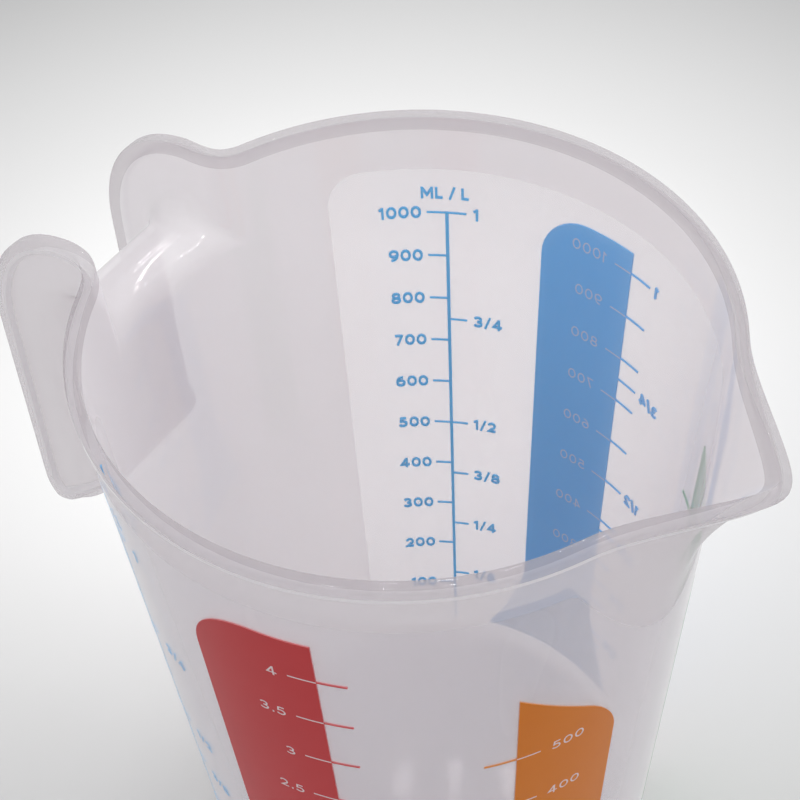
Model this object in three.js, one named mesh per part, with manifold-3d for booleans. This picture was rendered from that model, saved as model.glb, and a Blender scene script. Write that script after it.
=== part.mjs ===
// A one-litre plastic measuring jug. One moulding holds the wall, floor, rim bead, pouring spout and
// open channel handle. A label film is wrapped round it, and the printed scales lie on that film.
// Millimetres, +Z up. The origin is the centre of the underside. The spout points along +X and the
// handle along -X, and azimuths are in degrees from the spout, anticlockwise seen from above.
import * as THREE from 'three';
import { mergeVertices } from 'three/addons/utils/BufferGeometryUtils.js';
import Module from 'manifold-3d';

// Jug wall and floor
const JUG_HEIGHT = 153.5;
const BASE_RADIUS = 47.2;
const MOUTH_RADIUS = 57.33;
const WALL = 1.6;
const FLOOR = 2.0;
const BASE_CORNER = 3.0;
const FLOOR_CORNER = 2.5;

// Rim bead: how far it stands out of the wall, and its height
const BEAD_LIP = 0.9;
const BEAD_HEIGHT = 3;

// Spout: reach beyond the wall at the rim, width between its folds, depth below the rim where it
// leaves the wall, and depth where its folds begin to close in
const SPOUT_REACH = 14.3;
const SPOUT_WIDTH = 54;
const SPOUT_DEPTH = 42.5;
const SPOUT_SHOULDER = 13.8;
const SPOUT_TIP_ROUNDING = 1.6;

// Handle: a channel of two side plates and a web, with a thumb roll that dips the rim between them.
// The plates' free edge starts a step below the rim's top and rises above it.
const HANDLE_REACH = 27;
const HANDLE_WIDTH = 34.2;
const HANDLE_LENGTH = 78.8;
const HANDLE_PLATE = 1.5;
const HANDLE_FILLET = 9;
const HANDLE_STEP = 0.2;
const HANDLE_RISE = 1.9;
const SHOULDER_OUT = 22;
const SHOULDER_DOWN = 26.5;
const TOE_RADIUS = 2.5;
const TOE_RISE = 9.7;
const THUMB_DROP = 14.4;
const THUMB_RADIUS = 7.9;
const EDGE_BEAD = 1.1;

// Label film and ink: thicknesses, and the clearance under each layer
const FILM = 0.15;
const INK = 0.15;
const SKIN_CLEARANCE = 0.1;
const LABEL_END = 140.8;
const LABEL_CORNER = 7;
const LABEL_BOTTOM = 3.4;
const COLLAR = 11.6;
const LABEL_MARGIN = 0.7;

// Printed bands: azimuths of the two sides, where the ticks end, and the radius of the rounded top corner. The gaps
// say how far the top lies below the label's, and the mark margins how far the highest mark stays below that top.
// The tall bands spread out at their foot, by less the higher up, and end there in a tip.
const BAND_BOTTOM = 4;
const RED_BAND = { near: -72.6, far: -97.2, tick: -67.1, corner: 14 };
const BLUE_BAND = { near: 73.3, far: 95.2, tick: 67.8, corner: 10 };
const ORANGE_BAND = { near: -37.5, far: -14.8, tick: -43.9, corner: 7.5 };
const GREEN_BAND = { near: 37.5, far: 14.8, tick: 43.9, corner: 7.5 };
const BAND_TOP_GAP = 7;
const FOOT_HEIGHT = 28;
const FOOT_SPREAD = 12.8;
const FOOT_TIP = 0.6;
const MARK_MARGIN = 3;
const SHORT_BAND_GAP = 26.7;
const SHORT_BAND_SLANT = 0.83;
const SHORT_MARK_MARGIN = 12;

// Line scales: azimuth of the line, and where the ticks of each side end
const INSIDE_SCALE = { line: 115.9, millilitres: 120.1, fractions: 111.8 };
const OUTSIDE_SCALE = { line: -121.0, millilitres: -125.2, fractions: -116.9 };
const LINE_WIDTH = 0.6;
const TICK_HEIGHT = 0.5;

// What the scales measure, in millilitres
const LITRE = 1000;
const MILLILITRE_STEP = 100;
const HALF_CUP = 118.3;
const DRY_STEP = 139;
const LITRE_FRACTIONS = [1 / 8, 1 / 4, 3 / 8, 1 / 2, 3 / 4];

// Facets
const LATHE_COLUMNS = 80;
const LATHE_CROWDING = 0.55;
const SPOUT_ROWS = 9;
const ARC_DIVISIONS = 5;
const SECTION_FACETS = 4;
const BEND_STEPS = 8;
const BEAD_STEPS = 44;
const WRAP_FACET = 2.4;

// How deep joined pieces are sunk into each other, so that their faces never coincide
const TUCK = 0.05;
const BURY = 0.5;
const ROOT_ANGLE = 0.06;
const CUT_PAST = 6;

const wasm = await Module();
wasm.setup();

const DRAFT = (MOUTH_RADIUS - BASE_RADIUS) / JUG_HEIGHT;
const wallRadius = (z) => BASE_RADIUS + DRAFT * z;
const clamp01 = (value) => Math.min(1, Math.max(0, value));
const radians = (degrees) => THREE.MathUtils.degToRad(degrees);

// A closed geometry as a solid that can be joined and cut
function solid(geometry) {
  const bare = geometry.clone();
  bare.deleteAttribute('normal');
  bare.deleteAttribute('uv');
  const merged = mergeVertices(bare, 1e-4);
  const corners = merged.index.array;
  const triangles = [];
  for (let i = 0; i < corners.length; i += 3) {
    const [a, b, c] = [corners[i], corners[i + 1], corners[i + 2]];
    if (a !== b && b !== c && c !== a) triangles.push(a, b, c);
  }
  return new wasm.Manifold(new wasm.Mesh({
    numProp: 3,
    vertProperties: new Float32Array(merged.attributes.position.array),
    triVerts: new Uint32Array(triangles),
  }));
}

function geometryOf(manifold) {
  const mesh = manifold.getMesh();
  const geometry = new THREE.BufferGeometry();
  geometry.setAttribute('position', new THREE.BufferAttribute(new Float32Array(mesh.vertProperties), 3));
  geometry.setIndex(new THREE.BufferAttribute(new Uint32Array(mesh.triVerts), 1));
  geometry.computeVertexNormals();
  return geometry;
}

// Moves every vertex of a geometry with a function of its place
function reshape(geometry, move) {
  const position = geometry.attributes.position;
  const point = new THREE.Vector3();
  for (let i = 0; i < position.count; i += 1) {
    point.fromBufferAttribute(position, i);
    move(point);
    position.setXYZ(i, point.x, point.y, point.z);
  }
  return geometry;
}

// Spout: its half width along the wall closes from the shoulder down to a point on the keel
const spoutFoot = JUG_HEIGHT - SPOUT_DEPTH;
const shoulderRise = SPOUT_DEPTH - SPOUT_SHOULDER;
const FOLD_POWER = 0.6;
const FLANK_POWER = 1.85;

function spoutHalfWidth(z) {
  return SPOUT_WIDTH / 2 * clamp01((z - spoutFoot) / shoulderRise) ** FOLD_POWER;
}

function spoutBulge(azimuth, z) {
  const rise = clamp01((z - spoutFoot) / SPOUT_DEPTH);
  const half = spoutHalfWidth(z);
  const arc = wallRadius(z) * Math.abs(azimuth);
  if (arc >= half) return 0;
  const across = arc / half;
  const rounding = SPOUT_TIP_ROUNDING / half / rise;
  const soft = across ** 2 * (Math.hypot(1, rounding) + rounding) / (Math.hypot(across, rounding) + rounding);
  const keel = SPOUT_REACH * (0.35 * rise ** 1.5 + 0.65 * rise ** 3);
  return keel * (1 - soft) ** FLANK_POWER;
}

function arcPoints(x, y, radius, start, end) {
  const arc = new THREE.EllipseCurve(x, y, radius, radius, start, end, end < start);
  return arc.getPoints(SECTION_FACETS);
}

// The jug's section, from the middle of the underside round to the middle of the floor
function jugSection() {
  const quarter = Math.PI / 2;
  const beadHalf = (WALL + BEAD_LIP) / 2;
  const beadFoot = JUG_HEIGHT - BEAD_HEIGHT;
  const innerFoot = wallRadius(FLOOR + FLOOR_CORNER) - WALL - FLOOR_CORNER;
  const outside = [];
  const inside = [];
  for (let row = 0; row <= SPOUT_ROWS; row += 1) {
    const z = THREE.MathUtils.lerp(spoutFoot, beadFoot, row / SPOUT_ROWS);
    outside.push(new THREE.Vector2(wallRadius(z), z));
    inside.unshift(new THREE.Vector2(wallRadius(z) - WALL, z));
  }
  const beadMiddle = wallRadius(JUG_HEIGHT) - WALL + beadHalf;
  return [
    new THREE.Vector2(0, 0),
    ...arcPoints(wallRadius(BASE_CORNER) - BASE_CORNER, BASE_CORNER, BASE_CORNER, -quarter, 0),
    ...outside,
    new THREE.Vector2(wallRadius(beadFoot) + BEAD_LIP, beadFoot + BEAD_LIP / 2),
    ...arcPoints(beadMiddle, JUG_HEIGHT - beadHalf, beadHalf, 0, Math.PI),
    ...inside,
    ...arcPoints(innerFoot, FLOOR + FLOOR_CORNER, FLOOR_CORNER, 0, -quarter),
    new THREE.Vector2(0, FLOOR),
  ];
}

// The turned shell, with its columns crowded towards the spout and the spout pushed out of it
function jugShell() {
  const lathe = new THREE.LatheGeometry(jugSection(), LATHE_COLUMNS);
  lathe.rotateX(Math.PI / 2);
  return solid(reshape(lathe, (point) => {
    const even = Math.atan2(point.y, point.x);
    const azimuth = even - LATHE_CROWDING * Math.sin(even);
    const plain = Math.hypot(point.x, point.y);
    const radius = plain > 0 ? plain + spoutBulge(azimuth, point.z) : 0;
    point.set(radius * Math.cos(azimuth), radius * Math.sin(azimuth), point.z);
  }));
}

// Handle, drawn along +X
const thumbTop = JUG_HEIGHT - THUMB_DROP;
const thumbAxisZ = thumbTop - THUMB_RADIUS;
const thumbInner = wallRadius(thumbAxisZ) - WALL;
const thumbAxisX = thumbInner + THUMB_RADIUS;
const webOuter = thumbAxisX + THUMB_RADIUS;
const webInner = webOuter - HANDLE_PLATE;
const wallMiddle = wallRadius(thumbTop) - WALL / 2;
const plateMiddle = (HANDLE_WIDTH - HANDLE_PLATE) / 2;
const filletY = plateMiddle + HANDLE_FILLET;
const filletX = Math.sqrt((wallMiddle + HANDLE_FILLET) ** 2 - filletY ** 2);
const filletTurn = Math.atan2(filletY, filletX);
const rootX = wallMiddle * Math.cos(filletTurn);
const rootTop = JUG_HEIGHT - HANDLE_STEP - EDGE_BEAD;
const edgeTop = rootTop + HANDLE_RISE;
const edgeX = MOUTH_RADIUS + HANDLE_REACH - EDGE_BEAD;
const shoulderX = edgeX - SHOULDER_OUT;
const shoulderZ = edgeTop - SHOULDER_DOWN;
const toeZ = JUG_HEIGHT - HANDLE_LENGTH + TOE_RADIUS;
const toeX = edgeX - TOE_RADIUS;
const toeSlope = Math.atan2(TOE_RISE, edgeX - webInner);
const toeEnd = -Math.PI / 2 - toeSlope;
const toeEndX = toeX + TOE_RADIUS * Math.cos(toeEnd);
const toeEndZ = toeZ + TOE_RADIUS * Math.sin(toeEnd);
const webBottom = toeEndZ + (toeEndX - webInner) * Math.tan(toeSlope);

// The side plates lean with the wall at their root and stand upright at the web
function leanWithWall(point) {
  const fade = clamp01((webOuter - point.x) / (webOuter - filletX));
  const radius = Math.hypot(point.x, point.y);
  const scale = 1 + DRAFT * (point.z - thumbTop) * fade / radius;
  point.x *= scale;
  point.y *= scale;
}

// The roll follows the round wall at its root and is straight at the web
function bendWithWall(point) {
  const sagitta = thumbInner - Math.sqrt(thumbInner ** 2 - point.y ** 2);
  point.x -= sagitta * clamp01((webInner - point.x) / (webInner - thumbInner - HANDLE_PLATE));
}

// An upright solid from a shape drawn in plan, between two heights
function upright(plan, low, high, steps = 1) {
  const geometry = new THREE.ExtrudeGeometry(plan, {
    depth: high - low, steps, bevelEnabled: false, curveSegments: ARC_DIVISIONS,
  });
  return geometry.translate(0, 0, low);
}

// A solid from a shape drawn in the XZ plane, between two values of y
function crosswise(profile, low, high, steps = 1) {
  const geometry = new THREE.ExtrudeGeometry(profile, {
    depth: high - low, steps, bevelEnabled: false, curveSegments: ARC_DIVISIONS,
  });
  return geometry.rotateX(Math.PI / 2).translate(0, high, 0);
}

// Plan of one side plate, from its root in the wall through the fillet to past its free edge.
// The side is 1 for +Y and -1 for -Y.
function platePlan(side) {
  const half = HANDLE_PLATE / 2;
  const end = edgeX + CUT_PAST;
  const plan = new THREE.Shape();
  plan.absarc(0, 0, wallMiddle + half, filletTurn + ROOT_ANGLE, filletTurn, true);
  plan.absarc(filletX, filletY, HANDLE_FILLET - half, filletTurn + Math.PI, 1.5 * Math.PI, false);
  plan.lineTo(end, plateMiddle + half);
  plan.lineTo(end, plateMiddle - half);
  plan.absarc(filletX, filletY, HANDLE_FILLET + half, 1.5 * Math.PI, filletTurn + Math.PI, true);
  plan.absarc(0, 0, wallMiddle - half, filletTurn, filletTurn + ROOT_ANGLE, false);
  const points = plan.getPoints(ARC_DIVISIONS);
  return new THREE.Shape(points.map(({ x, y }) => new THREE.Vector2(x, side * y)));
}

// Side view of a side plate: rise from the rim, flat top, sloping shoulder, upright free edge, rounded toe
function plateOutline() {
  const start = thumbInner - CUT_PAST;
  const outline = new THREE.Shape();
  outline.moveTo(start, rootTop);
  outline.lineTo(rootX, rootTop);
  outline.lineTo(filletX, edgeTop);
  outline.lineTo(shoulderX, edgeTop);
  outline.absellipse(shoulderX, shoulderZ, SHOULDER_OUT, SHOULDER_DOWN, Math.PI / 2, 0, true);
  outline.absarc(toeX, toeZ, TOE_RADIUS, 0, toeEnd, true);
  outline.lineTo(webInner + BURY, webBottom);
  outline.lineTo(webInner + BURY, thumbAxisZ);
  outline.lineTo(start, thumbAxisZ);
  return outline;
}

// Section of the thumb roll and the web below it
function rollSection() {
  const root = thumbAxisZ - WALL / 2;
  const section = new THREE.Shape();
  section.moveTo(thumbInner + TUCK, root);
  section.lineTo(thumbInner + TUCK, thumbAxisZ);
  section.absarc(thumbAxisX, thumbAxisZ, THUMB_RADIUS - TUCK, Math.PI, 0, true);
  section.lineTo(webOuter - TUCK, webBottom);
  section.lineTo(webInner, webBottom);
  section.absarc(thumbAxisX, thumbAxisZ, THUMB_RADIUS - HANDLE_PLATE, 0, Math.PI, false);
  section.lineTo(thumbInner + HANDLE_PLATE, root);
  return section;
}

// The finger space under the roll, which the side plates stay out of
function fingerSection() {
  const section = new THREE.Shape();
  section.moveTo(webInner + BURY, webBottom - CUT_PAST);
  section.absarc(thumbAxisX, thumbAxisZ, THUMB_RADIUS - HANDLE_PLATE + BURY, 0, Math.PI, false);
  section.lineTo(thumbInner + HANDLE_PLATE - BURY, webBottom - CUT_PAST);
  return section;
}

// Plan of the space between the middles of the two side plates
function channelPlan() {
  const end = webOuter + CUT_PAST;
  const plan = new THREE.Shape();
  plan.moveTo(0, 0);
  plan.absarc(filletX, -filletY, HANDLE_FILLET, Math.PI - filletTurn, Math.PI / 2, true);
  plan.lineTo(end, -plateMiddle);
  plan.lineTo(end, plateMiddle);
  plan.absarc(filletX, filletY, HANDLE_FILLET, 1.5 * Math.PI, filletTurn + Math.PI, true);
  return plan;
}

// The bead along a side plate's free edge, from inside the rim bead round the toe to the web
function edgeBead(side) {
  const route = [];
  const onPlan = (x, y) => {
    const height = rootTop + HANDLE_RISE * clamp01((x - rootX) / (filletX - rootX));
    const point = new THREE.Vector3(x, side * y, height);
    leanWithWall(point);
    route.push(point);
  };
  for (const turn of [2 * ROOT_ANGLE, ROOT_ANGLE]) {
    onPlan(wallMiddle * Math.cos(filletTurn + turn), wallMiddle * Math.sin(filletTurn + turn));
  }
  for (const { x, y } of arcPoints(filletX, filletY, HANDLE_FILLET, filletTurn + Math.PI, 1.5 * Math.PI)) {
    onPlan(x, y);
  }
  const shoulder = new THREE.EllipseCurve(
    shoulderX, shoulderZ, SHOULDER_OUT, SHOULDER_DOWN, Math.PI / 2, 0, true);
  const toe = arcPoints(toeX, toeZ, TOE_RADIUS, 0, toeEnd);
  const root = new THREE.Vector2(webInner + BURY, webBottom);
  for (const { x, y } of [...shoulder.getPoints(BEND_STEPS), ...toe, root]) {
    route.push(new THREE.Vector3(x, side * plateMiddle, y));
  }
  const section = new THREE.Shape();
  section.absarc(0, 0, EDGE_BEAD, 0, 2 * Math.PI, false);
  return new THREE.ExtrudeGeometry(section, {
    steps: BEAD_STEPS,
    extrudePath: new THREE.CatmullRomCurve3(route, false, 'centripetal'),
    curveSegments: SECTION_FACETS,
    bevelEnabled: false,
  });
}

// A piece of the handle as a solid, turned round to the back of the jug
const atBack = (geometry) => solid(geometry.rotateZ(Math.PI));

// One side plate with its bead
function sidePlate(side) {
  const sheet = upright(platePlan(side), toeZ - CUT_PAST, edgeTop + CUT_PAST, BEND_STEPS);
  const outline = crosswise(plateOutline(), -HANDLE_WIDTH, HANDLE_WIDTH);
  const fingers = crosswise(fingerSection(), -HANDLE_WIDTH, HANDLE_WIDTH, 2 * BEND_STEPS);
  return atBack(reshape(sheet, leanWithWall))
    .intersect(atBack(outline))
    .subtract(atBack(reshape(fingers, bendWithWall)))
    .add(atBack(edgeBead(side)));
}

function handle() {
  const rollEnd = plateMiddle + HANDLE_FILLET;
  const roll = crosswise(rollSection(), -rollEnd, rollEnd, BEND_STEPS);
  const channel = upright(channelPlan(), webBottom - CUT_PAST, JUG_HEIGHT);
  return atBack(reshape(roll, bendWithWall))
    .intersect(atBack(channel))
    .add(sidePlate(1))
    .add(sidePlate(-1));
}

// The piece of wall and rim that the handle takes the place of
function handleWindow() {
  const far = edgeX;
  const plan = new THREE.Shape();
  plan.moveTo(0, 0);
  plan.lineTo(far * Math.cos(filletTurn), -far * Math.sin(filletTurn));
  plan.lineTo(far * Math.cos(filletTurn), far * Math.sin(filletTurn));
  return atBack(upright(plan, thumbAxisZ, JUG_HEIGHT + CUT_PAST));
}

function jugBody() {
  return geometryOf(jugShell().subtract(handleWindow()).add(handle()));
}

// How much a rounded corner lowers an edge at some distance from its end
function roundOff(distance, radius) {
  const short = Math.max(0, radius - distance);
  return radius - Math.sqrt(Math.max(0, radius ** 2 - short ** 2));
}

// A thin patch wrapped round the wall between two azimuths, in degrees. Its columns crowd towards both sides.
function wrapped(from, to, bottom, top, inner, thickness) {
  const low = Math.min(from, to);
  const high = Math.max(from, to);
  const columns = Math.ceil((high - low) / WRAP_FACET);
  return reshape(new THREE.BoxGeometry(1, 1, 1, columns, 1, 1), (point) => {
    const share = 0.5 + 0.5 * Math.sin(Math.PI * point.x);
    const azimuth = THREE.MathUtils.lerp(low, high, share);
    const z = THREE.MathUtils.lerp(bottom(azimuth), top(azimuth), point.y + 0.5);
    const radius = wallRadius(z) + inner + (point.z + 0.5) * thickness;
    point.set(radius * Math.cos(radians(azimuth)), radius * Math.sin(radians(azimuth)), z);
  });
}

const labelTop = JUG_HEIGHT - COLLAR - LABEL_MARGIN;
const labelRadius = wallRadius(labelTop);
const arcBetween = (a, b) => labelRadius * radians(Math.abs(a - b));

// The label's top edge runs level and dips round the foot of the spout
function labelEdge(azimuth) {
  const across = arcBetween(azimuth, 0) / (SPOUT_WIDTH / 2);
  const dip = spoutFoot - LABEL_MARGIN + shoulderRise * across ** (1 / FOLD_POWER);
  const toEnd = arcBetween(LABEL_END, Math.abs(azimuth));
  return Math.min(labelTop, dip) - roundOff(toEnd, LABEL_CORNER);
}

function labelFilm() {
  const foot = (azimuth) => LABEL_BOTTOM + roundOff(arcBetween(LABEL_END, Math.abs(azimuth)), LABEL_CORNER);
  return wrapped(-LABEL_END, LABEL_END, foot, labelEdge, SKIN_CLEARANCE, FILM);
}

// The height that a volume of liquid reaches in the tapered jug
function fillHeight(millilitres) {
  const floorRadius = wallRadius(FLOOR) - WALL;
  const surface = Math.cbrt(floorRadius ** 3 + 3 * DRAFT * 1000 * millilitres / Math.PI);
  return FLOOR + (surface - floorRadius) / DRAFT;
}

// The heights of equal steps of volume, up to the given top
function levels(step, top) {
  const heights = [];
  for (let count = 1; fillHeight(count * step) <= top; count += 1) {
    heights.push(fillHeight(count * step));
  }
  return heights;
}

const inkInner = 2 * SKIN_CLEARANCE + FILM;
const tickTuck = INK / 5;

// A tick mark at one height. It is a little thinner than the ink that it runs into.
function tick(from, to, height) {
  return solid(wrapped(
    from, to, () => height - TICK_HEIGHT / 2, () => height + TICK_HEIGHT / 2,
    inkInner + tickTuck, INK - 2 * tickTuck));
}

// A coloured band with ticks out of its near side
function band({ near, far, tick: tickEnd }, top, heights) {
  const inside = near + Math.sign(far - near) * 2;
  let ink = solid(wrapped(near, far, () => BAND_BOTTOM, top, inkInner, INK));
  for (const height of heights) ink = ink.add(tick(tickEnd, inside, height));
  return ink;
}

// The spread foot at one side of a tall band, between the band's inside and the foot's tip
function footPatch(inside, side) {
  const tip = FOOT_SPREAD * Math.max(0, 1 - (BAND_BOTTOM + FOOT_TIP) / FOOT_HEIGHT) ** 1.5;
  const end = side + Math.sign(side - inside) * THREE.MathUtils.radToDeg(tip / labelRadius);
  const beyond = (azimuth) => Math.max(0, (azimuth - side) * Math.sign(end - side));
  const top = (azimuth) => FOOT_HEIGHT * (1 - (labelRadius * radians(beyond(azimuth)) / FOOT_SPREAD) ** (2 / 3));
  return solid(wrapped(inside, end, () => BAND_BOTTOM, top, inkInner + tickTuck, INK - 2 * tickTuck));
}

const tallTop = labelTop - BAND_TOP_GAP;

function tallBand(place, step) {
  const top = (azimuth) => tallTop - roundOff(arcBetween(azimuth, place.far), place.corner);
  const middle = (place.near + place.far) / 2;
  return geometryOf(band(place, top, levels(step, tallTop - MARK_MARGIN))
    .add(footPatch(middle, place.near))
    .add(footPatch(middle, place.far)));
}

function shortBand(place) {
  const shortTop = labelTop - SHORT_BAND_GAP;
  const top = (azimuth) => shortTop
    - SHORT_BAND_SLANT * arcBetween(azimuth, place.near)
    - roundOff(arcBetween(azimuth, place.far), place.corner);
  return geometryOf(band(place, top, levels(DRY_STEP, shortTop - SHORT_MARK_MARGIN)));
}

// An upright line with millilitre ticks on one side and fractions of a litre on the other
function lineScale({ line, millilitres, fractions }) {
  const heights = levels(MILLILITRE_STEP, tallTop - MARK_MARGIN);
  const head = heights.at(-1);
  const half = THREE.MathUtils.radToDeg(LINE_WIDTH / 2 / labelRadius);
  let ink = solid(wrapped(
    line - half, line + half, () => BAND_BOTTOM, () => head + TICK_HEIGHT / 2, inkInner, INK));
  for (const height of heights) ink = ink.add(tick(line, millilitres, height));
  const shares = [...LITRE_FRACTIONS.map((share) => fillHeight(share * LITRE)), head];
  for (const height of shares.filter((z) => z <= head)) ink = ink.add(tick(line, fractions, height));
  return geometryOf(ink);
}

function plastic(color, roughness, opacity = 1) {
  return new THREE.MeshStandardMaterial({
    color, roughness, metalness: 0, opacity, transparent: opacity < 1,
  });
}

const jug = new THREE.Group();
jug.name = 'measuring_jug';

function addPiece(name, geometry, material) {
  const mesh = new THREE.Mesh(geometry, material);
  mesh.name = name;
  jug.add(mesh);
}

addPiece('jug_body', jugBody(), plastic(0xe6e3e6, 0.25, 0.75));
addPiece('label_film', labelFilm(), plastic(0xe9e8eb, 0.3, 0.8));
addPiece('red_cup_scale', tallBand(RED_BAND, HALF_CUP), plastic(0xa83238, 0.35));
addPiece('blue_millilitre_scale', tallBand(BLUE_BAND, MILLILITRE_STEP), plastic(0x2d6cb0, 0.35));
addPiece('orange_dry_scale', shortBand(ORANGE_BAND), plastic(0xc2651f, 0.35));
addPiece('green_dry_scale', shortBand(GREEN_BAND), plastic(0x4f9a6b, 0.35));
addPiece('inside_litre_scale', lineScale(INSIDE_SCALE), plastic(0x4c8cc4, 0.35));
addPiece('outside_litre_scale', lineScale(OUTSIDE_SCALE), plastic(0x4c8cc4, 0.35));

export default jug;
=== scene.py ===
# %% [markdown]
# # A one-litre measuring jug
# The jug is one cloudy plastic moulding: a tapered wall, a floor, a rim bead, a pouring spout and an open
# channel handle. A thin label film is wrapped round it, and coloured scales are printed on that film. The
# CAD model is loaded first, because it fixes where everything is. Lengths of the jug are in millimetres,
# as on a drawing, and each piece is scaled to metres when it is finished. The stage is laid out in
# metres.

# %% Load the CAD frame
import math

import bmesh
import bpy
from mathutils import Matrix, Vector


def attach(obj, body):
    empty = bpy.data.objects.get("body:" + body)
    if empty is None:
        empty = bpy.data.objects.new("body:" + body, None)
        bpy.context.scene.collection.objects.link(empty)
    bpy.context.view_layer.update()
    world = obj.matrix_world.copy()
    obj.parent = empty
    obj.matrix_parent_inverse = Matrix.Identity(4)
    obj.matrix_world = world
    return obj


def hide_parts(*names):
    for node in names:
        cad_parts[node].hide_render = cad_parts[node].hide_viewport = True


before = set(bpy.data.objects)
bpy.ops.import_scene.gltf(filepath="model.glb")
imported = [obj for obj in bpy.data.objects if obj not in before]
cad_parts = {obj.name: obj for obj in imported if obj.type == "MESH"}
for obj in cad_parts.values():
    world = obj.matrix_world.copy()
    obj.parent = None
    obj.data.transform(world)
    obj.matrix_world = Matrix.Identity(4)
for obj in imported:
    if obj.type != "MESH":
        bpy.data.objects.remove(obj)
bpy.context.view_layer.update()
MM = 0.001

# %% [markdown]
# ## Camera
# The camera was solved from the photograph, by fitting the round rim and the straight sides. A camera
# could be turned by angles, but its three axes are known here, so they become the columns of its matrix.

# %% Camera
CAMERA_PLACE = Vector((128.17, -175.12, 364.29)) * MM
CAMERA_RIGHT = Vector((0.82965, 0.55645, -0.04529))
CAMERA_UP = Vector((-0.38054, 0.62300, 0.68343))
FOCAL_LENGTH = 79.78
SENSOR_WIDTH = 36
scene = bpy.context.scene
lens = bpy.data.cameras.new("photo_camera")
lens.lens = FOCAL_LENGTH
lens.sensor_width = SENSOR_WIDTH
camera = bpy.data.objects.new("photo_camera", lens)
turn = Matrix((CAMERA_RIGHT, CAMERA_UP, CAMERA_RIGHT.cross(CAMERA_UP))).transposed()
camera.matrix_world = Matrix.Translation(CAMERA_PLACE) @ turn.to_4x4()
scene.collection.objects.link(camera)
scene.camera = camera
scene.view_settings.view_transform = "Standard"
print("camera at", tuple(round(value, 3) for value in CAMERA_PLACE))

# %% [markdown]
# ## Shader sums
# A material is a net of nodes, and a sum of masks can take a dozen Math nodes. This class holds one
# output socket, and its operators add the Math nodes, so a mask is written as it is thought:
# `1 - mask * 0.3`. Every other node is made by the one method `node`.

# %% A socket with operators
class Wire:
    """One output socket of a shader node."""

    def __init__(self, socket):
        self.socket = socket
        self.tree = socket.id_data

    @staticmethod
    def node(tree, kind, settings=None, sockets=None, out=0):
        """Adds a node, sets it up, fills its inputs and returns one of its outputs."""
        made = tree.nodes.new(kind)
        for name, value in (settings or {}).items():
            if name == "stops":
                ramp = made.color_ramp.elements
                while len(ramp) < len(value):
                    ramp.new(0.5)
                for stop, (place, colour) in zip(ramp, value):
                    stop.position = place
                    stop.color = colour
            else:
                setattr(made, name, value)
        for name, value in (sockets or {}).items():
            if isinstance(value, Wire):
                tree.links.new(value.socket, made.inputs[name])
            else:
                made.inputs[name].default_value = value
        return Wire(made.outputs[out]) if made.outputs else made

    def maths(self, operation, *values):
        return Wire.node(self.tree, "ShaderNodeMath", {"operation": operation}, dict(enumerate(values)))

    def __add__(self, other):
        return self.maths("ADD", self, other)

    def __radd__(self, other):
        return self.maths("ADD", other, self)

    def __sub__(self, other):
        return self.maths("SUBTRACT", self, other)

    def __rsub__(self, other):
        return self.maths("SUBTRACT", other, self)

    def __mul__(self, other):
        return self.maths("MULTIPLY", self, other)

    def __rmul__(self, other):
        return self.maths("MULTIPLY", other, self)

    def __pow__(self, other):
        return self.maths("POWER", self, other)

    def at_least(self, other):
        return self.maths("MAXIMUM", self, other)

    def at_most(self, other):
        return self.maths("MINIMUM", self, other)

    def below(self, other):
        return self.maths("LESS_THAN", self, other)


def new_tree(name):
    """A material with an empty net of nodes."""
    material = bpy.data.materials.new(name)
    material.use_nodes = True
    material.node_tree.nodes.clear()
    return material, material.node_tree


def linear(red, green, blue):
    """A colour read off a screen, 0 to 255, as the linear colour that a shader takes."""
    def one(value):
        share = value / 255
        return share / 12.92 if share <= 0.04045 else ((share + 0.055) / 1.055) ** 2.4
    return (one(red), one(green), one(blue), 1)


def object_noise(tree, scale, detail=3.0, stretch=(1, 1, 1)):
    """Noise that stays with the piece: its scale is in spots per metre."""
    place = Wire.node(tree, "ShaderNodeTexCoord", out="Object")
    laid = Wire.node(tree, "ShaderNodeMapping", None, {"Vector": place, "Scale": stretch})
    return Wire.node(tree, "ShaderNodeTexNoise", None, {"Vector": laid, "Scale": scale, "Detail": detail})


print("shader helpers ready")

# %% [markdown]
# ## Stage
# The photograph was taken on a plain pale sheet. It is brightest round the jug and falls off evenly
# towards the corners, and that pool of light is painted into the floor plane's colour, so it does not
# depend on the camera. The plane lies a hair below the jug, because two faces in one plane would flicker.
# The room is brightest overhead, a little behind the jug. Rows of small lamps give the plastic its bright
# points: each row is placed so that a rounded edge, or the jug's floor, mirrors it towards the camera.

# %% Floor and room
GLOW_CENTRE = (-0.093, 0.103, 0)
GLOW_TURN = math.radians(33.8)
GLOW_SPREAD = (0.19, 0.178, 1)
GLOW_STOPS = [(0.2, (0.95, 0.95, 0.95, 1)), (0.5, (0.711, 0.711, 0.711, 1)), (0.9, (0.432, 0.432, 0.434, 1))]
GLOW_REACH = 0.667
FLOOR_SIZE = 3.0
FLOOR_GAP = 0.0002
LIGHT_FROM = (0.2, 0.45, 0.87)
ROOM_STOPS = [(0.0, (0.42, 0.42, 0.42, 1)), (0.5, (0.49, 0.49, 0.49, 1)), (0.88, (0.64, 0.64, 0.64, 1)),
              (1.0, (1, 1, 1, 1))]
ROOM_STRETCH = 0.714
ROOM_SHIFT = 0.286
ROOM_STRENGTH = 1.74
GRAIN_SCALE = 900.0


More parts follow.
